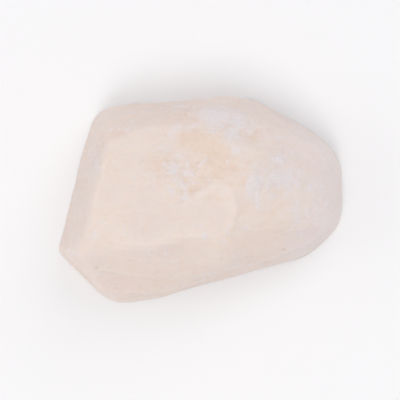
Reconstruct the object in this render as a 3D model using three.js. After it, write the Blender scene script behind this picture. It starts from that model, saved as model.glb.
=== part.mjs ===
// Half of a peeled taro corm, split lengthwise, lying on its flat cut face.
//
// Millimetres. +X runs along the corm to its narrow tail end, +Y across it and +Z up, away from the cut face.
// The origin is the middle of the bounding box, on the plane of the cut face.

import * as THREE from "three";

// ---- Driving dimensions ----
const LENGTH = 109; // blunt crown end to narrow tail end
const WIDTH = 80; // across the cut face, where the corm is broadest
const THICKNESS = 40; // cut face to the highest point of the peeled back
const RIDGE_RADIUS = 1.1; // how far the edge between two knife flats is rounded by thawing and handling
const RIM_RADIUS = 0.5; // the same, for the rim of a scoop
const WAVE = 0.45; // how far a knife flat rises and falls about its plane

const STEPS_ALONG = 80; // mesh steps from end to end
const STEPS_ROUND = 56; // mesh steps over the back, from rim to rim
const PRECISION = 1e-5; // how closely a point is brought to the surface

// ---- The corm before peeling ----
// An egg with rather square shoulders, whose long axis swings a little towards +Y at the tail.
const EGG = {
  middle: -5, // x of its broadest section
  halfLength: 60,
  halfWidth: 42.5,
  halfHeight: 45,
  squareness: 2.35, // 2 would be an ellipse
  swing: 0.06, // sideways drift of the axis, per millimetre of length
};

// ---- The peeling knife ----
// Each stroke leaves a flat. "round" is the way the flat faces about the long axis, in degrees: 0 is +Y,
// 90 is up and 180 is -Y. "lean" tips it towards the tail (+) or the crown (-). "reach" is its distance from
// the origin.
const STROKES = [
  { what: "broad flat on top", round: 84, lean: -1.5, reach: 39.1 },
  { what: "top, towards the tail", round: 95, lean: 17, reach: 40.5 },
  { what: "top, down to the tail", round: 79, lean: 36, reach: 44 },
  { what: "back shoulder", round: 53, lean: 11, reach: 43.5 },
  { what: "back, upper", round: 24, lean: -6, reach: 42.3 },
  { what: "back, lower", round: 4, lean: -3.5, reach: 38.8 },
  { what: "back, towards the tail", round: 20, lean: 27, reach: 42.6 },
  { what: "front, upper", round: 144, lean: -4, reach: 40 },
  { what: "front, between upper and lower", round: 157, lean: 5, reach: 36.7 },
  { what: "front, lower", round: 169, lean: 14.5, reach: 32.4 },
  { what: "front, towards the tail", round: 130, lean: 26, reach: 39.5 },
  { what: "front corner of the tail", round: 162, lean: 42, reach: 43.8 },
  { what: "crown end, trimmed off", round: 46, lean: -70, reach: 47.6 },
  { what: "crown end, front corner", round: 164, lean: -44, reach: 53.2 },
  { what: "crown end, back corner", round: 16, lean: -40, reach: 51.7 },
  { what: "tail tip", round: 88, lean: 62, reach: 50.8 },
  { what: "back corner of the tail", round: 16, lean: 50, reach: 51.7 },
];
// Shallow scoops, where the knife dug in or lifted out an eye. Each is a ball cut of the given width and
// depth, centred where a line square to the long axis, at "x" and at the angle "round", leaves the flats.
const SCOOPS = [
  { what: "lifted eye on top", x: -1, round: 70, width: 30, depth: 1.3 },
  { what: "arched stroke over the front ridge", x: -3, round: 117, width: 36, depth: 3.2 },
  { what: "dip towards the tail", x: 29, round: 84, width: 20, depth: 0.9 },
  { what: "back, by the bulge", x: 15, round: 30, width: 22, depth: 1 },
  { what: "front, by the crown", x: -35, round: 150, width: 20, depth: 0.9 },
];

// The way a stroke's flat faces, as a unit vector.
function facing({ round, lean }) {
  const r = THREE.MathUtils.degToRad(round);
  const l = THREE.MathUtils.degToRad(lean);
  return new THREE.Vector3(Math.sin(l), Math.cos(l) * Math.cos(r), Math.cos(l) * Math.sin(r));
}

// The largest of the values, with the corner between them rounded.
function roundedMax(values, radius) {
  const top = Math.max(...values);
  const sum = values.reduce((total, v) => total + Math.exp((v - top) / radius), 0);
  return top + radius * Math.log(sum);
}

// How far a point lies outside the unpeeled egg, roughly in millimetres.
function outsideEgg(p) {
  const terms = [
    (p.x - EGG.middle) / EGG.halfLength,
    (p.y - EGG.swing * p.x) / EGG.halfWidth,
    p.z / EGG.halfHeight,
  ];
  const sum = terms.reduce((total, t) => total + Math.abs(t) ** EGG.squareness, 0);
  return (sum ** (1 / EGG.squareness) - 1) * EGG.halfWidth;
}

// How far a point lies outside the egg once the strokes have been taken.
const flats = STROKES.map((stroke) => ({ normal: facing(stroke), reach: stroke.reach }));
function outsideFlats(p) {
  const cuts = flats.map(({ normal, reach }) => normal.dot(p) - reach);
  return roundedMax([outsideEgg(p), ...cuts], RIDGE_RADIUS);
}

// The point where a ray leaves a shape, given how far points lie outside it.
function leaving(start, direction, outsideShape) {
  let inner = 0;
  let outer = LENGTH;
  while (outer - inner > PRECISION) {
    const middle = (inner + outer) / 2;
    const p = start.clone().addScaledVector(direction, middle);
    if (outsideShape(p) < 0) inner = middle;
    else outer = middle;
  }
  return start.clone().addScaledVector(direction, inner);
}

// The way the flats face at a point on them, from how steeply they fall away along each axis.
const SHORT_STEP = 0.1;
function outwardAt(p) {
  const rise = ["x", "y", "z"].map((axis) => {
    const beside = p.clone();
    beside[axis] += SHORT_STEP;
    return outsideFlats(beside) - outsideFlats(p);
  });
  return new THREE.Vector3(...rise).normalize();
}

// The balls that cut the scoops.
const balls = SCOOPS.map(({ x, round, width, depth }) => {
  const rim = leaving(new THREE.Vector3(x, 0, 0), facing({ round, lean: 0 }), outsideFlats);
  const radius = (width * width) / (8 * depth) + depth / 2;
  return { centre: rim.addScaledVector(outwardAt(rim), radius - depth), radius };
});

// Slow waves that keep the flats from being dead flat: each one's share of WAVE, its turn in radians for each
// millimetre along the three axes, and where it starts.
const WAVES = [
  { share: 0.5, turn: new THREE.Vector3(0.11, 0.07, 0), start: 0.4 },
  { share: 0.3, turn: new THREE.Vector3(0, 0.19, -0.12), start: 1.7 },
  { share: 0.2, turn: new THREE.Vector3(0.23, 0, -0.17), start: 2.9 },
];
function wave(p) {
  return WAVES.reduce((sum, { share, turn, start }) => sum + WAVE * share * Math.sin(turn.dot(p) + start), 0);
}

// Negative inside the finished flesh, positive outside it.
function outside(p) {
  const scoops = balls.map(({ centre, radius }) => radius - centre.distanceTo(p));
  return roundedMax([outsideFlats(p), ...scoops], RIM_RADIUS) + wave(p);
}

// ---- The solid ----
// Step i runs from the tail (0) to the crown, and step j over the back from the rim at +Y to the rim at -Y.
function rayThrough(i, j) {
  const along = (Math.PI * i) / STEPS_ALONG;
  const round = (Math.PI * j) / STEPS_ROUND;
  const onRim = j === 0 || j === STEPS_ROUND;
  return new THREE.Vector3(
    (LENGTH / 2) * Math.cos(along),
    (WIDTH / 2) * Math.sin(along) * Math.cos(round),
    onRim ? 0 : (WIDTH / 2) * Math.sin(along) * Math.sin(round),
  ).normalize();
}

// One closed mesh: the peeled back as rows of quads between two tips, and the cut face as rungs from rim
// to rim.
function halfCorm() {
  const positions = [];
  const addPoint = (direction) => {
    const p = leaving(new THREE.Vector3(), direction, outside);
    positions.push(p.x, p.y, p.z);
    return positions.length / 3 - 1;
  };
  const tail = addPoint(new THREE.Vector3(1, 0, 0));
  const crown = addPoint(new THREE.Vector3(-1, 0, 0));
  const rows = [];
  for (let i = 1; i < STEPS_ALONG; i++) {
    const row = [];
    for (let j = 0; j <= STEPS_ROUND; j++) row.push(addPoint(rayThrough(i, j)));
    rows.push(row);
  }
  const faces = [];
  const last = rows[rows.length - 1];
  for (let j = 0; j < STEPS_ROUND; j++) {
    faces.push(tail, rows[0][j], rows[0][j + 1]);
    faces.push(crown, last[j + 1], last[j]);
    for (let i = 0; i + 1 < rows.length; i++) {
      const [a, b] = [rows[i][j], rows[i][j + 1]];
      const [c, d] = [rows[i + 1][j], rows[i + 1][j + 1]];
      faces.push(a, c, b, b, c, d);
    }
  }
  faces.push(tail, rows[0][STEPS_ROUND], rows[0][0]);
  faces.push(crown, last[0], last[STEPS_ROUND]);
  for (let i = 0; i + 1 < rows.length; i++) {
    const [a, b] = [rows[i][0], rows[i][STEPS_ROUND]];
    const [c, d] = [rows[i + 1][0], rows[i + 1][STEPS_ROUND]];
    faces.push(a, b, c, b, d, c);
  }
  const geometry = new THREE.BufferGeometry();
  geometry.setAttribute("position", new THREE.Float32BufferAttribute(positions, 3));
  geometry.setIndex(faces);
  geometry.computeBoundingBox();
  const middle = geometry.boundingBox.getCenter(new THREE.Vector3());
  const size = geometry.boundingBox.getSize(new THREE.Vector3());
  geometry.translate(-middle.x, -middle.y, 0);
  geometry.scale(LENGTH / size.x, WIDTH / size.y, THICKNESS / size.z);
  geometry.computeVertexNormals();
  return geometry;
}

const flesh = new THREE.MeshStandardMaterial({ color: 0xe6d6c8, roughness: 0.55, metalness: 0 });

const half = new THREE.Mesh(halfCorm(), flesh);
half.name = "taro_half";

const object = new THREE.Group();
object.add(half);
export default object;
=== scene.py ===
"""Half of a peeled taro corm, frozen, lying on its cut face on a pale table."""

import math

import bpy
import numpy as np
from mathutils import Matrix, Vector, noise
from mathutils.kdtree import KDTree


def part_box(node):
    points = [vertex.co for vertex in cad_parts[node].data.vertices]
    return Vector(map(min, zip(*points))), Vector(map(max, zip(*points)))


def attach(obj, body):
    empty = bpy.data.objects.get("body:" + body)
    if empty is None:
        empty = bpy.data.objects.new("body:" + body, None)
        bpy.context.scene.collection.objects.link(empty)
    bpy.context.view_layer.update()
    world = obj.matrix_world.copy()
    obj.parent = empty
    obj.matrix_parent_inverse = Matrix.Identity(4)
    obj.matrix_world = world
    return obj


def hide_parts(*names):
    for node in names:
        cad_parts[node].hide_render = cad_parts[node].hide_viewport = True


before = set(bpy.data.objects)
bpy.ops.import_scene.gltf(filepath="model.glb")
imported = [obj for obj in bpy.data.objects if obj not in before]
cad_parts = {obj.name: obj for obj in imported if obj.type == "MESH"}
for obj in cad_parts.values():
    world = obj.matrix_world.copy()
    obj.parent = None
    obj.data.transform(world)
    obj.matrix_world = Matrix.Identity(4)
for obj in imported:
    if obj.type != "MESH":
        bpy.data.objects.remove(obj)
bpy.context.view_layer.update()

# ---- The flesh: a fine mesh of the plain solid ----
# Firm, starchy flesh, one grown piece. The corm was peeled with a broad knife and split lengthwise, and it
# lies on the flat face of that split. The solid gives the broad flats, and this mesh carries the rest.

MM = 0.001
SAME_PLACE = 0.01  # millimetres within which two corners of the solid's triangles are one point
MESH_STEP = 0.51  # millimetres between the points of the fine mesh


def fine_copy(node, name):
    """A CAD node's shape as a new object with an even, fine mesh."""
    piece = bpy.data.objects.new(name, node.data.copy())
    bpy.context.collection.objects.link(piece)
    weld = piece.modifiers.new("weld", "WELD")
    weld.merge_threshold = SAME_PLACE * MM
    remesh = piece.modifiers.new("remesh", "REMESH")
    remesh.mode = "VOXEL"
    remesh.voxel_size = MESH_STEP * MM
    smooth = piece.modifiers.new("smooth", "SMOOTH")
    smooth.factor = 0.5
    smooth.iterations = 3
    evaluated = piece.evaluated_get(bpy.context.evaluated_depsgraph_get())
    piece.data = bpy.data.meshes.new_from_object(evaluated)
    piece.data.name = name
    piece.modifiers.clear()
    return piece


def points_of(mesh):
    """A mesh's points, in millimetres, and their normals, as two arrays."""
    places = np.empty(len(mesh.vertices) * 3)
    normals = np.empty(len(mesh.vertices) * 3)
    mesh.vertices.foreach_get("co", places)
    mesh.vertex_normals.foreach_get("vector", normals)
    return places.reshape(-1, 3) / MM, normals.reshape(-1, 3)


flesh = fine_copy(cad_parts["taro_half"], "taro_flesh")
points, normals = points_of(flesh.data)
lower, upper = (np.array(corner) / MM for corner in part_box("taro_half"))

edges = np.empty(len(flesh.data.edges) * 2, dtype=np.int64)
flesh.data.edges.foreach_get("vertices", edges)
starts, ends = edges.reshape(-1, 2).T
neighbour_counts = np.bincount(edges, minlength=len(points))


def evened(values, rounds):
    """The values after each point has gone halfway to its neighbours' average, so many times over."""
    for _ in range(rounds):
        sums = np.bincount(starts, values[ends], len(points))
        sums += np.bincount(ends, values[starts], len(points))
        values = (values + sums / neighbour_counts) / 2
    return values


# ---- The flesh: what the knife left ----
# Each stroke took a long shaving, so the flats are very slightly hollow, with a crisp edge where two meet.
# The blade drew fine lines, and now and then stopped at a low step. A place on the back is given by x and by
# its round angle, the angle about the long axis: 0 is +Y, 90 is up and 180 is -Y.

round_angle = np.degrees(np.arctan2(points[:, 2], points[:, 1]))
from_axis = np.hypot(points[:, 1], points[:, 2])


def above(y):
    """The round angle of a place on the broad top flat, from its y in millimetres."""
    return math.degrees(math.atan2(upper[2], y))


def along_and_across(x, at_angle, heading):
    """Every point's distance from a place, along a stroke and across it. Heading 0 is towards the tail."""
    down_length = points[:, 0] - x
    over_back = np.radians(at_angle - round_angle) * from_axis
    turn = math.radians(heading)
    along = down_length * math.cos(turn) + over_back * math.sin(turn)
    across = -down_length * math.sin(turn) + over_back * math.cos(turn)
    return along, across


def step(value, start, end):
    """0 below start, 1 above end, and a smooth rise between them."""
    t = np.clip((value - start) / (end - start), 0, 1)
    return t * t * (3 - 2 * t)


def shaving(x, at_angle, heading, length, width, depth):
    """How deep a long, shallow stroke with crisp edges goes at every point."""
    along, across = along_and_across(x, at_angle, heading)
    return depth * np.clip(1 - (2 * along / length) ** 2 - (2 * across / width) ** 2, 0, None)


STOP_CURVE = 0.1  # how much sooner a short cut ends at its sides, as a share of its length
STOP_STEP = 0.8  # millimetres over which the surface rises again where a short cut ends


def nick(x, at_angle, heading, length, width, depth):
    """How deep a short cut goes, which deepens as it runs and stops at a slightly curved step."""
    along, across = along_and_across(x, at_angle, heading)
    side = np.clip(2 * across / width, -1, 1)
    end = length * (1 - STOP_CURVE * side**2)
    return depth * (1 - side**4) * np.clip(along / end, 0, 1) ** 2 * (1 - step(along - end, 0, STOP_STEP))


FALL_OFF = 1.0  # at 1, an octave of a ripple is half as high where it is twice as fine
FINER = 2.0  # how many times as fine each octave of a ripple is as the last


def ripple(sizes, start, octaves=2):
    """Smooth random values from about -1 to 1, which vary over the given millimetres along X, Y and Z."""
    places = points / np.array(sizes) + start
    return np.array([noise.fractal(place, FALL_OFF, FINER, octaves) for place in places.tolist()])


UPPER_SIDE = (0.3, 0.6)  # how far up the surface faces where lines begin to show, and where they fully do


def near_line(places, left_width, right_width, sway):
    """1 on a line through x, y places of the upper side, falling to 0 over a width to each side of it."""
    off = np.full(len(points), np.inf)
    for start, end in zip(np.array(places[:-1]), np.array(places[1:])):
        run = end - start
        from_start = points[:, :2] - start
        share = np.clip(from_start @ run / (run @ run), 0, 1)
        left = run[0] * from_start[:, 1] - run[1] * from_start[:, 0] > 0
        away = np.linalg.norm(from_start - share[:, None] * run, axis=1) * np.where(left, 1, -1)
        off = np.where(np.abs(away) < np.abs(off), away, off)
    off = off + sway
    fall = np.exp(-((off / np.where(off > 0, left_width, right_width)) ** 2))
    return fall * step(normals[:, 2], *UPPER_SIDE)


# Long strokes that show from above: x, y, heading, length, width, depth.
TOP_SHAVINGS = [
    (-34.5, 6.5, 84, 64, 23, 0.45),
    (-1.5, 14.5, -14, 46, 25, 0.85),
    (-13.5, -5.5, 4, 52, 16, 0.40),
    (6.5, -2.5, -38, 26, 14, 0.45),
    (26.5, 12.5, -18, 44, 17, 0.60),
    (25.5, -6.5, 6, 48, 15, 0.55),
    (-15.5, -25.5, 3, 64, 15, 0.55),
    (10.5, -23.5, 12, 50, 15, 0.65),
    (36.5, 2.5, 70, 36, 15, 0.45),
]
shaved = np.zeros(len(points))
for x, y, heading, length, width, depth in TOP_SHAVINGS:
    shaved = np.maximum(shaved, shaving(x, above(y), heading, length, width, depth))

# The flanks were peeled in rows of long strokes from the crown to the tail, each row overlapping the last.
ROW_ANGLES = [8, 30, 50, 131, 150, 170]
ALONG_A_ROW = [-34, 0, 32]
draw = np.random.default_rng(11)
for row_angle in ROW_ANGLES:
    for row_x in ALONG_A_ROW:
        x = row_x + draw.uniform(-8, 8)
        at_angle = row_angle + draw.uniform(-4, 4)
        heading = draw.uniform(-9, 9)
        length, width, depth = draw.uniform(46, 78), draw.uniform(15, 20), draw.uniform(1.2, 1.9)
        shaved = np.maximum(shaved, shaving(x, at_angle, heading, length, width, depth))
shaved = evened(shaved, 1)

# Where the blade stopped on a flank, the flesh keeps a low step.
STOPS = 14
nicked = np.zeros(len(points))
for _ in range(STOPS):
    at_angle = draw.choice([draw.uniform(8, 46), draw.uniform(134, 172)])
    x = draw.uniform(-48, 30)
    heading = draw.uniform(-14, 14)
    length, width, depth = draw.uniform(14, 26), draw.uniform(7, 13), draw.uniform(0.16, 0.34)
    nicked = np.maximum(nicked, nick(x, at_angle, heading, length, width, depth))
nicked = evened(nicked, 1)

# The crown was trimmed off with three cuts across the corm: y, z, width, height, depth.
CROWN_CUTS = [(-16, 12, 34, 34, 0.7), (10, 20, 34, 38, 0.8), (27, 8, 24, 30, 0.6)]
CROWN_SIDE = (0.5, 0.75)  # how far the surface faces towards -X where the crown begins, and where it is full
trimmed = np.zeros(len(points))
for y, z, width, height, depth in CROWN_CUTS:
    off = (2 * (points[:, 1] - y) / width) ** 2 + (2 * (points[:, 2] - z) / height) ** 2
    trimmed = np.maximum(trimmed, depth * np.clip(1 - off, 0, None))
on_crown = step(-normals[:, 0], *CROWN_SIDE)
trimmed = evened(trimmed * on_crown, 2)

# The edges that stand out on the upper side, from x, y to x, y: the lip under the hollow, the two long
# ridges, and a faint one across the broad flat. They sway a little, and each falls off over one width to its
# left and another to its right.
sway = 0.7 * ripple((6, 6, 6), 3.9)
LIP_HEIGHT = 0.38
RIDGE_HEIGHT = 0.10
LIP = [(-4.5, 0), (0.5, 2.7), (6, 6.7), (10.8, 4.3), (13.1, -2), (12.3, -8.4)]
FRONT_RIDGE = [(-16.5, -13), (-7.5, -12.5), (2.5, -11), (9.5, -10.5), (14.5, -14.5)]
BACK_RIDGE = [(-36.5, 28.1), (-22.5, 27), (-9.5, 26.5), (-5.5, 29.9), (1.5, 34)]
CROSS_RIDGE = [(-23.5, 23.5), (-24, 10.5), (-23, -3.5)]
lip = near_line(LIP, 0.9, 3.2, sway)
ridges = np.maximum(near_line(FRONT_RIDGE, 1.2, 0.9, sway), near_line(BACK_RIDGE, 1.2, 1.6, sway))
cross_ridge = near_line(CROSS_RIDGE, 1.6, 1.0, sway)

SWELL_HEIGHT = 0.22
DRAG_LINE_HEIGHT = 0.03
drag_lines = ripple((24, 1.5, 1.5), 2.3) + 0.6 * ripple((36, 3.4, 3.4), 8.9)
swell = ripple((21, 15, 15), 5.7)
strokes = -shaved - nicked
details = LIP_HEIGHT * lip + RIDGE_HEIGHT * ridges + RIDGE_HEIGHT * cross_ridge
details += SWELL_HEIGHT * swell + DRAG_LINE_HEIGHT * drag_lines * (1 - on_crown) - trimmed

# ---- The flesh: what grew on it ----
# Leaf scars ringed the corm and roots left small pits between them. The peeling took most of them away, so
# a few rings show as faint grooves, and a few pits stay brown.

RINGS = [-43, -37, -24.5, -19, 31, 41]
RING_WIDTH = 0.9
RING_WANDER = 1.8
RING_DEPTH = 0.07
wander = ripple((30, 9, 9), 4.1)
left_of_rings = step(ripple((9, 9, 9), 12.7), -0.1, 0.4)
rings = np.zeros(len(points))
for x in RINGS:
    rings += np.exp(-(((points[:, 0] - x - RING_WANDER * wander) / RING_WIDTH) ** 2))
rings *= left_of_rings

PITS = 10
PIT_DEPTH = 0.24
pits = np.zeros(len(points))
for _ in range(PITS):
    x = draw.choice(RINGS) + draw.uniform(-2.5, 2.5)
    at_angle = draw.choice([draw.uniform(5, 48), draw.uniform(132, 175)])
    along, across = along_and_across(x, at_angle, 0)
    radius = draw.uniform(0.4, 0.75)
    pits = np.maximum(pits, np.exp(-(along**2 + across**2) / radius**2) * draw.uniform(0.5, 1))
growth = -RING_DEPTH * rings - PIT_DEPTH * pits

# ---- The flesh: frost and stains ----
# Frost settled in patches, with a thin film and loose specks round them, and dried the surface white. The
# hollow in the middle of the top stayed damp and turned a warm, golden cream. Each of these becomes a mask,
# a value from 0 to 1 at every point.

# Seen from above: x, y, half-length, half-width, heading, strength.
FROST_PATCHES = [
    (6, 32, 6.5, 4.7, -5, 1.0),
    (14, 30, 4.6, 3.9, -25, 0.85),
    (11.5, 25.5, 3.3, 4.6, 0, 0.75),
    (-2.5, 28.5, 5.9, 1.5, 18, 0.60),
    (-9, 26, 2.9, 2.6, 0, 0.65),
    (12.9, 18.8, 2.2, 1.6, -30, 0.80),
    (20.5, 7, 2.7, 5.0, 0, 0.85),
    (21.5, 0, 1.6, 3.0, 5, 0.75),
    (19, 4, 2.0, 2.4, 0, 0.90),
    (30.5, 7.5, 6.0, 4.8, 0, 0.90),
    (33.5, 9, 2.2, 2.6, 0, 0.90),
    (26, 6.5, 4.2, 3.6, 0, 0.74),
    (29.3, 15.3, 2.5, 2.4, 0, 0.95),
    (41, 4.5, 1.8, 1.5, 0, 0.90),
    (35.5, -3.8, 1.4, 1.4, 0, 0.85),
    (37, -8, 1.3, 1.3, 0, 0.60),
    (38, -11.5, 1.5, 1.5, 0, 0.60),
    (43.5, -4.5, 2.2, 1.8, 0, 0.50),
    (46.5, -7.5, 2.2, 3.0, 0, 0.50),
    (-9.8, 11, 2.5, 3.0, 0, 0.85),
    (-5, 10, 2.6, 1.9, 60, 0.70),
    (-6.5, 6.5, 2.0, 1.8, 0, 0.60),
    (-13.5, 18.5, 4.0, 2.2, -25, 0.55),
    (-8.5, 16.5, 3.0, 1.6, 0, 0.50),
    (-15.5, 8.5, 3.5, 3.5, 0, 0.40),
    (-10.5, 3.2, 2.0, 1.0, -45, 0.95),
    (-5.3, 0.7, 1.8, 1.2, 0, 0.80),
    (0.7, 13.7, 2.6, 0.8, 50, 0.85),
    (-39.1, 13.5, 2.2, 4.2, 0, 1.0),
    (30.5, -22, 3.5, 1.6, 15, 0.60),
    (20.5, -11.5, 2.0, 1.4, 0, 0.45),
]
STAINS = [
    (-0.5, 22.5, 11, 6.5, -5, 0.95),
    (7.5, 12.5, 11, 7, 0, 0.85),
    (5, 18.5, 8, 5, -20, 1.05),
    (-14.5, 14.5, 7, 9, 0, 0.60),
    (-3.5, 5.5, 6, 4, 30, 0.80),
    (-37.5, 22.5, 2.8, 5, 0, 1.0),
    (-31.5, 24.5, 4, 3, 0, 0.60),
    (-5.5, 32.5, 9, 4.5, 0, 0.70),
    (20.5, 24.5, 2.2, 3.5, -30, 0.90),
    (30.5, 19.5, 7, 3, -30, 0.45),
    (16.5, 4.5, 3, 9, 0, 0.50),
    (27, -4.5, 2, 3, 0, 0.70),
    (26.5, -7.5, 9, 8, 0, 0.30),
    (3.5, 0.5, 3.5, 2, 0, 0.55),
    # The last two lie along the front flank, where their broad, warm darkening is partly painted shade of the
    # flank.
    (-13.5, -30.5, 30, 8, 4, 0.50),
    (22.5, -24.5, 14, 4, 14, 0.55),
]

# Which places face up or belong to the flanks, and which stand clear of the table.
facing_up = step(normals[:, 2], 0.05, 0.45)
on_flank = 1 - facing_up
off_table = step(points[:, 2], 1, 3)


def patches(places, spread=1):
    """How strongly the patches, made larger by spread, cover each point of the upper side, at most 1."""
    cover = np.zeros(len(points))
    for x, y, half_length, half_width, heading, strength in places:
        turn = math.radians(heading)
        dx, dy = (points[:, 0] - x) / spread, (points[:, 1] - y) / spread
        along = dx * math.cos(turn) + dy * math.sin(turn)
        across = -dx * math.sin(turn) + dy * math.cos(turn)
        off = (along / half_length) ** 2 + (across / half_width) ** 2
        cover = np.maximum(cover, strength * np.exp(-off))
    return cover * facing_up


blotch = ripple((3.2, 2.8, 2.8), 9.2, octaves=4)
speckle = ripple((1.5, 1.4, 1.4), 3.3, octaves=3)
streak = ripple((4, 2.4, 2.4), 6.1, octaves=4)
patchy = ripple((15, 11, 11), 7.7)

# In each mask the noises break up the patches, each by its own share, and the last two numbers of step are
# where the mask begins and where it is full. Frost first: the patches, some more of it at random, the loose
# dusting far round them and the thin film close round them.
frost = step(patches(FROST_PATCHES) + 0.30 * blotch + 0.20 * speckle, 0.20, 0.90)
stray_frost = step(0.35 * speckle + 0.80 * blotch + 0.60 * patchy + 0.18 * on_flank, 0.40, 0.95)
frost = np.maximum(frost, 0.85 * stray_frost) * off_table
far_round = patches(FROST_PATCHES, spread=2.6)
dusting = step(far_round + 0.7 * patchy + 0.3 * blotch + 0.35 * on_flank, 0.1, 0.9) * off_table
close_round = patches(FROST_PATCHES, spread=1.6)
film = step(close_round + 0.35 * blotch, 0.15, 1.0) * off_table

# Stains: the patches and some more at random, none of it under frost.
stain = step(patches(STAINS) + 0.32 * streak + 0.14 * speckle, 0.08, 1.1)
golden_side = ripple((26, 16, 16), 15.1)
stray_stain = (0.45 + 0.3 * on_flank) * step(streak + 0.9 * golden_side + 0.15 * on_flank, 0.25, 1.2)
stain = np.maximum(stain, stray_stain) * (1 - frost)

# The tail is hazed over with a greyer white, which begins and is full at these millimetres along X. A place
# is steep from a tilt of about 25 degrees, and fully so at 45.
HAZE_BEGINS, HAZE_FULL = 21, 53
haze = step(points[:, 0] + 0.25 * np.abs(points[:, 1]) + 7 * patchy, HAZE_BEGINS, HAZE_FULL)
haze *= 0.45 + 0.55 * facing_up
steep = step(-normals[:, 2], -0.9, -0.7)

# Drying under the frost left the surface pebbled, and it stays smooth where the knife's cut is fresh.
FROST_HEIGHT = 0.14
STAIN_DEPTH = 0.06
PEBBLE_HEIGHT = 0.16
GRIT_HEIGHT = 0.17
pebbles = ripple((4, 3.4, 3.4), 1.3)
grit = ripple((1.5, 1.4, 1.4), 7.3, octaves=3)
pebbled = np.clip(0.35 + 0.5 * dusting + 0.4 * stain + 0.35 * patchy, 0.2, 1)
weathering = FROST_HEIGHT * frost * (1 + 0.8 * speckle) - STAIN_DEPTH * stain
weathering += pebbled * (PEBBLE_HEIGHT * pebbles + GRIT_HEIGHT * grit)

# ---- The flesh: its finished surface ----
# Strokes go in square to the long axis, and the rest along the surface's own direction, both level with the
# table near it. The cut face follows the rim, and keeps faint arcs of the knife, so shallow that it still
# lies flat.

RAISED = 0.5  # gives back, on average, what the strokes take, so the outline stays the solid's
ENDS_STILL = 0.05  # keeps strokes from moving the places that face straight along the corm
LEVEL_BELOW = 3  # millimetres up from the table, under which the surface moves more and more levelly
FACES_DOWN = -0.6  # the cut face has normals that point lower than this
CUT_FACE_BELOW = 0.7  # and points lower than this
RIM_BELOW = 1  # points of the back lower than this are its rim
FOLLOWS_RIM = 9  # how far in from the rim the cut face gives way to it
ROOM = 0.1  # left free all round inside the solid's box
ROOM_ABOVE = 0.3  # the same at the top, where grains of frost stand on the surface

cut_face = (normals[:, 2] < FACES_DOWN) & (points[:, 2] < CUT_FACE_BELOW)
square_on = normals * (0, 1, 1)
square_on /= np.linalg.norm(square_on, axis=1)[:, None] + ENDS_STILL
shift = square_on * (strokes + RAISED)[:, None] + normals * (details + growth + weathering)[:, None]
shift[:, 2] *= step(points[:, 2], 0, LEVEL_BELOW)

rim = np.flatnonzero(~cut_face & (points[:, 2] < RIM_BELOW))
rim_tree = KDTree(len(rim))
for index, place in zip(rim.tolist(), points[rim].tolist()):
    rim_tree.insert(place, index)
rim_tree.balance()
on_cut_face = np.flatnonzero(cut_face)
nearest = [rim_tree.find(place) for place in points[on_cut_face].tolist()]
nearest_on_rim = [index for _, index, _ in nearest]
from_rim = np.array([distance for _, _, distance in nearest])
following = 1 - step(from_rim, 0, FOLLOWS_RIM)
shift[on_cut_face] = shift[nearest_on_rim] * following[:, None]
moved = points + shift

# The arcs on the cut face are a wave along X that bends with Y and wanders a little.
ARC_HEIGHT = 0.04
ARC_TURN = 1.1  # radians of the wave to a millimetre
ARC_BEND = 0.02
ARC_WANDER = 2
arcs = ARC_HEIGHT * (1 + np.sin(points[:, 0] * ARC_TURN + ARC_BEND * points[:, 1] ** 2 + ARC_WANDER * swell))
moved[:, 2] = np.where(cut_face, arcs * step(from_axis, 0, 1), np.maximum(moved[:, 2], 0))
moved[:, 2] *= (upper[2] - ROOM_ABOVE) / moved[:, 2].max()

# The fine mesh has small teeth along the rim, where the back meets the cut face, and they are evened out.
TEETH_BELOW = (0.4, 1.6)  # the height up to which they are fully evened out, and where that ends
TEETH_ROUNDS = 10
near_table = 1 - step(points[:, 2], *TEETH_BELOW)
for axis in (0, 1):
    moved[:, axis] += (evened(moved[:, axis], TEETH_ROUNDS) - moved[:, axis]) * near_table
moved = np.clip(moved, lower + (ROOM, ROOM, 0), upper - ROOM)
flesh.data.vertices.foreach_set("co", (moved * MM).ravel())
flesh.data.polygons.foreach_set("use_smooth", [True] * len(flesh.data.polygons))
flesh.data.update()

# ---- The flesh: edges and hollows ----
# The proud edges are whitened, partly by a little frost and partly by painted highlight, and the hollows are
# darkened, partly as damp and partly by painted shade. A point is proud by how far it stands above an
# evened-out copy of the surface. Under the peel, a darker line runs round the cut face.

BROAD_ROUNDS, FINE_ROUNDS = 140, 24  # of evening out, to find broad edges and fine ones
BROAD_EDGE, FINE_EDGE = 0.30, 0.10  # millimetres above the evened surface that count as one step proud
BROAD_HOLLOW, FINE_HOLLOW = 0.25, 0.12  # the same below it
RIM_BAND_IN = 3.5  # millimetres in from the rim that the darker line runs
RIM_BAND_WIDTH = 0.6
RIM_BAND_WANDER = 0.6


def stands_proud(rounds):
    """How many millimetres each point stands above the surface evened out by so many rounds."""
    even = np.stack([evened(moved[:, axis], rounds) for axis in range(3)], axis=1)
    return ((moved - even) * normals).sum(axis=1)


broad_edges, fine_edges = stands_proud(BROAD_ROUNDS), stands_proud(FINE_ROUNDS)
# Painted highlight: the proud edges, the lip and the ridges are whitened as if lit, over a little frost.
edge_frost_and_highlight = step(broad_edges / BROAD_EDGE + fine_edges / FINE_EDGE + 0.6 * blotch, 0.4, 2.4) * ~cut_face
edge_frost_and_highlight *= 0.2 + 0.25 * steep + 0.3 * on_flank
edge_frost_and_highlight = np.maximum(edge_frost_and_highlight, np.maximum(lip, 0.4 * ridges) * step(blotch, -0.8, 0.3))
# Painted shade: the hollows are darkened, over a little damp.
hollow_damp_and_shade = step(-broad_edges / BROAD_HOLLOW - fine_edges / FINE_HOLLOW + 0.3 * blotch, 0.3, 2.2)
off_band = from_rim - RIM_BAND_IN + RIM_BAND_WANDER * patchy[on_cut_face]
rim_band = np.zeros(len(points))
rim_band[on_cut_face] = np.exp(-((off_band / RIM_BAND_WIDTH) ** 2))

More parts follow.
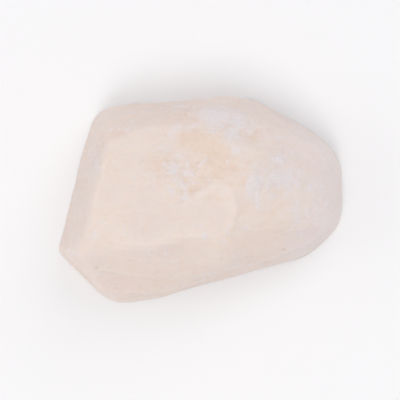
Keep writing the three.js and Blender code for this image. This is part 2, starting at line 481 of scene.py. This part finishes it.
# The masks go onto the mesh, where the material and the frost grains read them by name.
masks = {"frost": frost, "dusting": dusting, "stain": stain, "pits": pits, "haze": haze}
masks |= {"film": film, "edge_frost_and_highlight": edge_frost_and_highlight, "hollow_damp_and_shade": hollow_damp_and_shade, "steep": steep, "rim_band": rim_band}
for name, values in masks.items():
    mask = flesh.data.attributes.new(name, "FLOAT", "POINT")
    mask.data.foreach_set("value", np.clip(values, 0, 1).astype(np.float32))

# ---- The flesh: its material ----
# Cream, slightly see-through flesh. Threads of pinkish brown run lengthwise in it, so they show as short
# dashes on the flanks and as dots on the trimmed crown. Frost on it is bluish white and dull, and the
# stains are damp.


def srgb(red, green, blue):
    """A colour given as on screen, 0 to 255, in the linear values that a shader takes."""
    shares = [channel / 255 for channel in (red, green, blue)]
    # the standard sRGB curve: a short straight stretch for the darkest values, and a power above it
    linear = [share / 12.92 if share < 0.04045 else ((share + 0.055) / 1.055) ** 2.4 for share in shares]
    return (*linear, 1)


class Look:
    """A material and its nodes, added one at a time. A call that adds a node gives that node's output."""

    def __init__(self, name):
        self.material = bpy.data.materials.new(name)
        self.material.use_nodes = True
        self.tree = self.material.node_tree
        self.shader = self.tree.nodes["Principled BSDF"]

    def set(self, **inputs):
        """Sets or links the shader's own sockets, named with _ for a space."""
        for name, value in inputs.items():
            self.join(value, self.shader.inputs[name.replace("_", " ")])

    def join(self, source, socket):
        """Links a socket to a node's output, or sets it to a plain value."""
        if isinstance(source, bpy.types.NodeSocket):
            self.tree.links.new(source, socket)
        else:
            socket.default_value = source

    def add(self, kind, inputs, output=0, **settings):
        """Adds a node with the given inputs and settings, and gives the wanted output of it."""
        node = self.tree.nodes.new(kind)
        for name, value in settings.items():
            setattr(node, name, value)
        for socket, value in inputs.items():
            self.join(value, node.inputs[socket])
        return node.outputs[output]

    def place(self, stretch):
        """Object coordinates, counted in steps of the given millimetres along X, Y and Z."""
        coordinates = self.add("ShaderNodeTexCoord", {}, "Object")
        return self.add("ShaderNodeMapping", {"Vector": coordinates, "Scale": [1 / MM / s for s in stretch]})

    def warped(self, stretch, by):
        """What place gives, pushed about by a noise so that round shapes turn ragged."""
        place = self.place(stretch)
        wobble = self.add("ShaderNodeTexNoise", {"Vector": place, "Scale": 1.3, "Detail": 3}, "Color")
        inputs = {0: wobble, 1: (by, by, by), 2: place}
        return self.add("ShaderNodeVectorMath", inputs, operation="MULTIPLY_ADD")

    def noise(self, stretch, detail=3, roughness=0.55):
        """A noise whose blots are about the given millimetres long in X, Y and Z."""
        inputs = {"Vector": self.place(stretch), "Scale": 1, "Detail": detail, "Roughness": roughness}
        return self.add("ShaderNodeTexNoise", inputs)

    def ramp(self, value, low, high, to_low=0, to_high=1):
        """The value's range from low to high stretched to the range from to_low to to_high."""
        return self.add("ShaderNodeMapRange", {0: value, 1: low, 2: high, 3: to_low, 4: to_high})

    def times(self, a, b):
        return self.add("ShaderNodeMath", {0: a, 1: b}, operation="MULTIPLY")

    def plus(self, a, b):
        return self.add("ShaderNodeMath", {0: a, 1: b}, operation="ADD")

    def over(self, amount, below, above):
        """One colour over another, by the given amount. A Mix node's colours are its sockets 6 and 7."""
        return self.add("ShaderNodeMix", {0: amount, 6: below, 7: above}, 2, data_type="RGBA")

    def mask(self, name):
        """One of the masks kept on the mesh."""
        return self.add("ShaderNodeAttribute", {}, "Fac", attribute_name=name)


CREAM = srgb(234, 221, 211)
GREY_CREAM = srgb(229, 217, 211)
STRAW = srgb(230, 211, 196)
GOLD = srgb(228, 205, 186)
THREAD = srgb(186, 148, 148)
DAMP = srgb(228, 206, 190)
DEEP_DAMP = srgb(225, 199, 178)
PIT = srgb(190, 160, 140)
# Painted shade for the hollows, over their damp colour.
HOLLOW_DAMP_AND_SHADE = srgb(218, 196, 182)
# Painted highlight for the proud edges, over their frost colour.
EDGE_FROST_AND_HIGHLIGHT = srgb(240, 231, 225)
FROST_WHITE = srgb(232, 225, 226)
HAZE = srgb(228, 220, 222)
# Painted shade for the steep faces.
STEEP_SHADE_ROSE = srgb(228, 208, 200)

# The ground colour is cream with broad grey clouds, a darker rose on steep faces that is painted shade of the
# flanks, and straw along the fibres and in small blots.
look = Look("damp taro flesh")
frost_mask, stain_mask = look.mask("frost"), look.mask("stain")
colour = look.over(look.ramp(look.noise((26, 20, 20)), 0.35, 0.65), CREAM, GREY_CREAM)
# Painted shade: the steep faces are darkened towards rose.
colour = look.over(look.times(look.mask("steep"), 0.25), colour, STEEP_SHADE_ROSE)
fibres = look.noise((5, 0.9, 0.9), detail=5)
mottle = look.noise((4.5, 3, 3), detail=6, roughness=0.62)
flecks = look.noise((2.6, 2.2, 2.2), detail=6, roughness=0.68)
colour = look.over(look.ramp(mottle, 0.42, 0.72, 0, 0.45), colour, STRAW)
colour = look.over(look.ramp(fibres, 0.48, 0.72, 0, 0.26), colour, STRAW)

# Threads: cells stretched lengthwise, with a short dash in the middle of some of them, mostly where the cut
# is steep. The line under the peel has their colour.
cells = look.add("ShaderNodeTexVoronoi", {"Vector": look.warped((4.6, 1.3, 1.3), 1.6), "Scale": 1})
some = look.ramp(look.noise((5, 4, 4), detail=1), 0.46, 0.60)
threads = look.times(look.ramp(cells, 0.07, 0.18, 1, 0), some)
threads = look.times(threads, look.ramp(look.mask("steep"), 0, 1, 0.08, 0.42))
threads = look.plus(threads, look.times(look.mask("rim_band"), 0.22))
colour = look.over(threads, colour, THREAD)

# Stains, golden flecks, pits, the haze at the tail, the film of frost, the hollows darkened with painted
# shade as well as damp, and the proud edges whitened with painted highlight as well as frost.
damp_spots = look.ramp(flecks, 0.30, 0.62, 0.42, 0.88)
stained = look.times(stain_mask, damp_spots)
colour = look.over(stained, colour, DAMP)
colour = look.over(look.ramp(stained, 0.60, 1.0, 0, 0.20), colour, DEEP_DAMP)
golden = look.times(look.ramp(flecks, 0.52, 0.66), look.plus(look.times(look.mask("dusting"), 0.30), 0.10))
colour = look.over(golden, colour, GOLD)
colour = look.over(look.times(look.mask("pits"), 0.42), colour, PIT)
colour = look.over(look.times(look.mask("haze"), 0.5), colour, HAZE)
colour = look.over(look.times(look.mask("film"), 0.45), colour, HAZE)
# Painted shade in the hollows, over their damp colour.
colour = look.over(look.times(look.mask("hollow_damp_and_shade"), 0.32), colour, HOLLOW_DAMP_AND_SHADE)
# Painted highlight on the proud edges, the lip and the ridges, over their frost.
colour = look.over(look.times(look.mask("edge_frost_and_highlight"), 0.34), colour, EDGE_FROST_AND_HIGHLIGHT)

# Frost: the patches break up into crumbs at their edges, and fine specks lie loosely round them.
SPECKS = [(3.8, 0.55), (2.0, 0.45)]  # millimetres between specks, and their largest radius as a share of that
crumbs = look.noise((1.0, 0.9, 0.9), detail=5, roughness=0.7)
frosted = look.times(frost_mask, look.ramp(crumbs, 0.32, 0.56, 0.48, 0.80))
for spacing, most in SPECKS:
    around = look.warped((spacing, spacing, spacing), 0.5)
    speck = look.add("ShaderNodeTexVoronoi", {"Vector": around, "Scale": 1}).node
    chance = look.ramp(speck.outputs["Color"], 0.35, 1.0, -0.2, most)
    reach = look.times(chance, look.mask("dusting"))
    inside = look.add("ShaderNodeMath", {0: reach, 1: speck.outputs["Distance"]}, operation="SUBTRACT")
    speck_amount = look.ramp(inside, -0.10, 0.10, 0, 0.7)
    frosted = look.add("ShaderNodeMath", {0: frosted, 1: speck_amount}, operation="MAXIMUM")
colour = look.over(frosted, colour, FROST_WHITE)

# Damp flesh has a soft shine, the stains a little more of it, and the frost is dull.
dullness = look.ramp(look.noise((5, 3, 3), detail=4), 0.3, 0.7, 0.36, 0.52)
dullness = look.plus(dullness, look.times(stain_mask, -0.04))
roughness = look.plus(dullness, look.times(frosted, 0.30))

# Fine grain, fibres and frost crumbs, all too small for the mesh.
BUMP_HEIGHT = 0.19  # millimetres
grain = look.plus(look.times(look.noise((0.6, 0.5, 0.5), detail=4), 0.8), look.times(fibres, 0.3))
height = look.plus(grain, look.times(frosted, look.times(crumbs, 1.2)))
bump = look.add("ShaderNodeBump", {"Height": height, "Strength": 0.8, "Distance": BUMP_HEIGHT * MM})

look.set(Base_Color=colour, Roughness=roughness, Normal=bump)
look.set(Subsurface_Weight=0.3, Subsurface_Radius=(1.0, 0.62, 0.42), Subsurface_Scale=1.6 * MM)
look.set(Specular_IOR_Level=0.35, Coat_Weight=0.07, Coat_Roughness=0.24)

flesh.data.materials.clear()
flesh.data.materials.append(look.material)
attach(flesh, "root")
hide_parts("taro_half")

# ---- The frost grains ----
# Loose crumbs of ice that stand on the frosted patches. Each is a small faceted grain, half sunk in the
# surface, and they are scattered over the flesh as thickly as its frost mask says.

GRAINS_PER_SQUARE_MM = 4.6
GRAIN_RADIUS = 0.14  # millimetres
GATHERING = 2.0  # the power of the frost mask that keeps grains off its thin edges
CLEAR_ICE = srgb(238, 232, 234)
WHITE_ICE = srgb(245, 241, 243)

ice = Look("frost crumbs")
cloudiness = ice.ramp(ice.noise((2.5, 2.5, 2.5)), 0.35, 0.65)
ice.set(Base_Color=ice.over(cloudiness, CLEAR_ICE, WHITE_ICE))
ice.set(Roughness=ice.ramp(cloudiness, 0, 1, 0.35, 0.6))


def scatter_tree():
    """Geometry Nodes that scatter grains over a mesh where its frost mask is high."""
    tree = bpy.data.node_groups.new("scatter grains", "GeometryNodeTree")
    sockets = [("Surface", "Geometry"), ("Grains per square metre", "Float"), ("Grain radius", "Float")]
    for name, kind in sockets:
        tree.interface.new_socket(name=name, in_out="INPUT", socket_type="NodeSocket" + kind)
    tree.interface.new_socket(name="Grains", in_out="OUTPUT", socket_type="NodeSocketGeometry")

    def add(kind, inputs, output=0, **settings):
        node = tree.nodes.new(kind)
        for name, value in settings.items():
            setattr(node, name, value)
        for socket, value in inputs.items():
            if isinstance(value, bpy.types.NodeSocket):
                tree.links.new(value, node.inputs[socket])
            else:
                node.inputs[socket].default_value = value
        return node.outputs[output]

    group = tree.nodes.new("NodeGroupInput").outputs
    frosty = add("GeometryNodeInputNamedAttribute", {"Name": "frost"}, data_type="FLOAT")
    thick = add("ShaderNodeMath", {0: frosty, 1: GATHERING}, operation="POWER")
    density = add("ShaderNodeMath", {0: thick, 1: group["Grains per square metre"]}, operation="MULTIPLY")
    over_surface = {"Mesh": group["Surface"], "Density": density, "Seed": 3}
    spots = add("GeometryNodeDistributePointsOnFaces", over_surface)
    grain = add("GeometryNodeMeshIcoSphere", {"Radius": group["Grain radius"], "Subdivisions": 1})
    turns = {0: (0, 0, 0), 1: (math.tau, math.tau, math.tau), "Seed": 5}
    turn = add("FunctionNodeRandomValue", turns, data_type="FLOAT_VECTOR")
    sizes = {0: (0.4, 0.4, 0.3), 1: (1.5, 1.3, 0.9), "Seed": 8}
    size = add("FunctionNodeRandomValue", sizes, data_type="FLOAT_VECTOR")
    placed = {"Points": spots, "Instance": grain, "Rotation": turn, "Scale": size}
    grains = add("GeometryNodeInstanceOnPoints", placed)
    solid = add("GeometryNodeRealizeInstances", {"Geometry": grains})
    iced = add("GeometryNodeSetMaterial", {"Geometry": solid, "Material": ice.material})
    output = tree.nodes.new("NodeGroupOutput")
    tree.links.new(iced, output.inputs[0])
    return tree


carrier = bpy.data.objects.new("frost_grains", flesh.data.copy())
bpy.context.collection.objects.link(carrier)
scatter = carrier.modifiers.new("scatter", "NODES")
scatter.node_group = scatter_tree()
amounts = {"Grains per square metre": GRAINS_PER_SQUARE_MM / MM**2, "Grain radius": GRAIN_RADIUS * MM}
for socket in scatter.node_group.interface.items_tree:
    if socket.name in amounts:
        scatter[socket.identifier] = amounts[socket.name]
evaluated = carrier.evaluated_get(bpy.context.evaluated_depsgraph_get())
carrier.data = bpy.data.meshes.new_from_object(evaluated)
carrier.data.name = "frost_grains"
carrier.modifiers.clear()
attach(carrier, "root")

# ---- The table, the light and the camera ----
# A pale table that sweeps up into a wall all round. Soft lamps stand in front, beside the crown and behind.
# The camera looks straight down from standing height, with the long axis across the picture.

table_look = Look("pale table")
table_look.set(
    Base_Color=srgb(246, 246, 247),
    Roughness=table_look.ramp(table_look.noise((60, 60, 60), detail=4), 0.3, 0.7, 0.45, 0.6),
    Specular_IOR_Level=0.2,
)

# The table in metres: a disc, a quarter circle up from its edge, and a wall on that.
TABLE_RADIUS = 1.6
SWEEP_RADIUS = 1.2
SWEEP_STEP = 6  # degrees
WALL_TOP = 2.4
GAP = 0.05 * MM
SIDES = 96
sweep = [math.radians(angle) for angle in range(0, 91, SWEEP_STEP)]
outline = [(TABLE_RADIUS + SWEEP_RADIUS * math.sin(a), SWEEP_RADIUS * (1 - math.cos(a)) - GAP) for a in sweep]
outline.append((TABLE_RADIUS + SWEEP_RADIUS, WALL_TOP))
turns = [math.tau * side / SIDES for side in range(SIDES)]
table_points = [(r * math.cos(turn), r * math.sin(turn), z) for r, z in outline for turn in turns]
table_faces = [tuple(range(SIDES))]
for ring in range(len(outline) - 1):
    for side in range(SIDES):
        here, after = ring * SIDES + side, ring * SIDES + (side + 1) % SIDES
        table_faces.append((here, here + SIDES, after + SIDES, after))
table_mesh = bpy.data.meshes.new("table")
table_mesh.from_pydata(table_points, [], table_faces)
table_mesh.polygons.foreach_set("use_smooth", [True] * len(table_faces))
table = bpy.data.objects.new("table", table_mesh)
table_mesh.materials.append(table_look.material)
bpy.context.collection.objects.link(table)


def soft_lamp(name, place, size, watts, colour):
    """A square lamp that shines at the middle of the table."""
    lamp = bpy.data.lights.new(name, "AREA")
    lamp.size = size
    lamp.energy = watts
    lamp.color = colour
    holder = bpy.data.objects.new(name, lamp)
    holder.location = place
    holder.rotation_euler = (-Vector(place)).to_track_quat("-Z", "Y").to_euler()
    bpy.context.collection.objects.link(holder)


# Lamps: name, place and size in metres, watts, colour.
LAMPS = [
    ("key", (-0.3, -1.05, 1.84), 1.0, 12.0, (1.0, 0.98, 0.965)),
    ("crown side", (-1.5, 0.0, 0.8), 1.0, 3.7, (1.0, 0.985, 0.97)),
    ("back", (1.0, 1.4, 1.5), 1.6, 11.2, (0.98, 0.98, 1.0)),
]
for lamp in LAMPS:
    soft_lamp(*lamp)

ROOM_COLOUR = (0.99, 0.98, 0.985, 1)
ROOM_STRENGTH = 0.635
room = bpy.data.worlds.new("room")
room.use_nodes = True
background = room.node_tree.nodes["Background"]
background.inputs["Color"].default_value = ROOM_COLOUR
background.inputs["Strength"].default_value = ROOM_STRENGTH
bpy.context.scene.world = room

# The camera, in metres, but for its sensor, in millimetres.
CAMERA_HEIGHT = 0.95
PICTURE_WIDTH = 0.150  # what the picture takes in, at the height of the half's flanks
FLANK_HEIGHT = 0.02
SENSOR = 36
camera_data = bpy.data.cameras.new("camera")
camera_data.sensor_width = SENSOR
camera_data.lens = SENSOR * (CAMERA_HEIGHT - FLANK_HEIGHT) / PICTURE_WIDTH
camera = bpy.data.objects.new("camera", camera_data)
camera.location = (0, 0, CAMERA_HEIGHT)
bpy.context.collection.objects.link(camera)
bpy.context.scene.camera = camera
bpy.context.scene.view_settings.view_transform = "Standard"
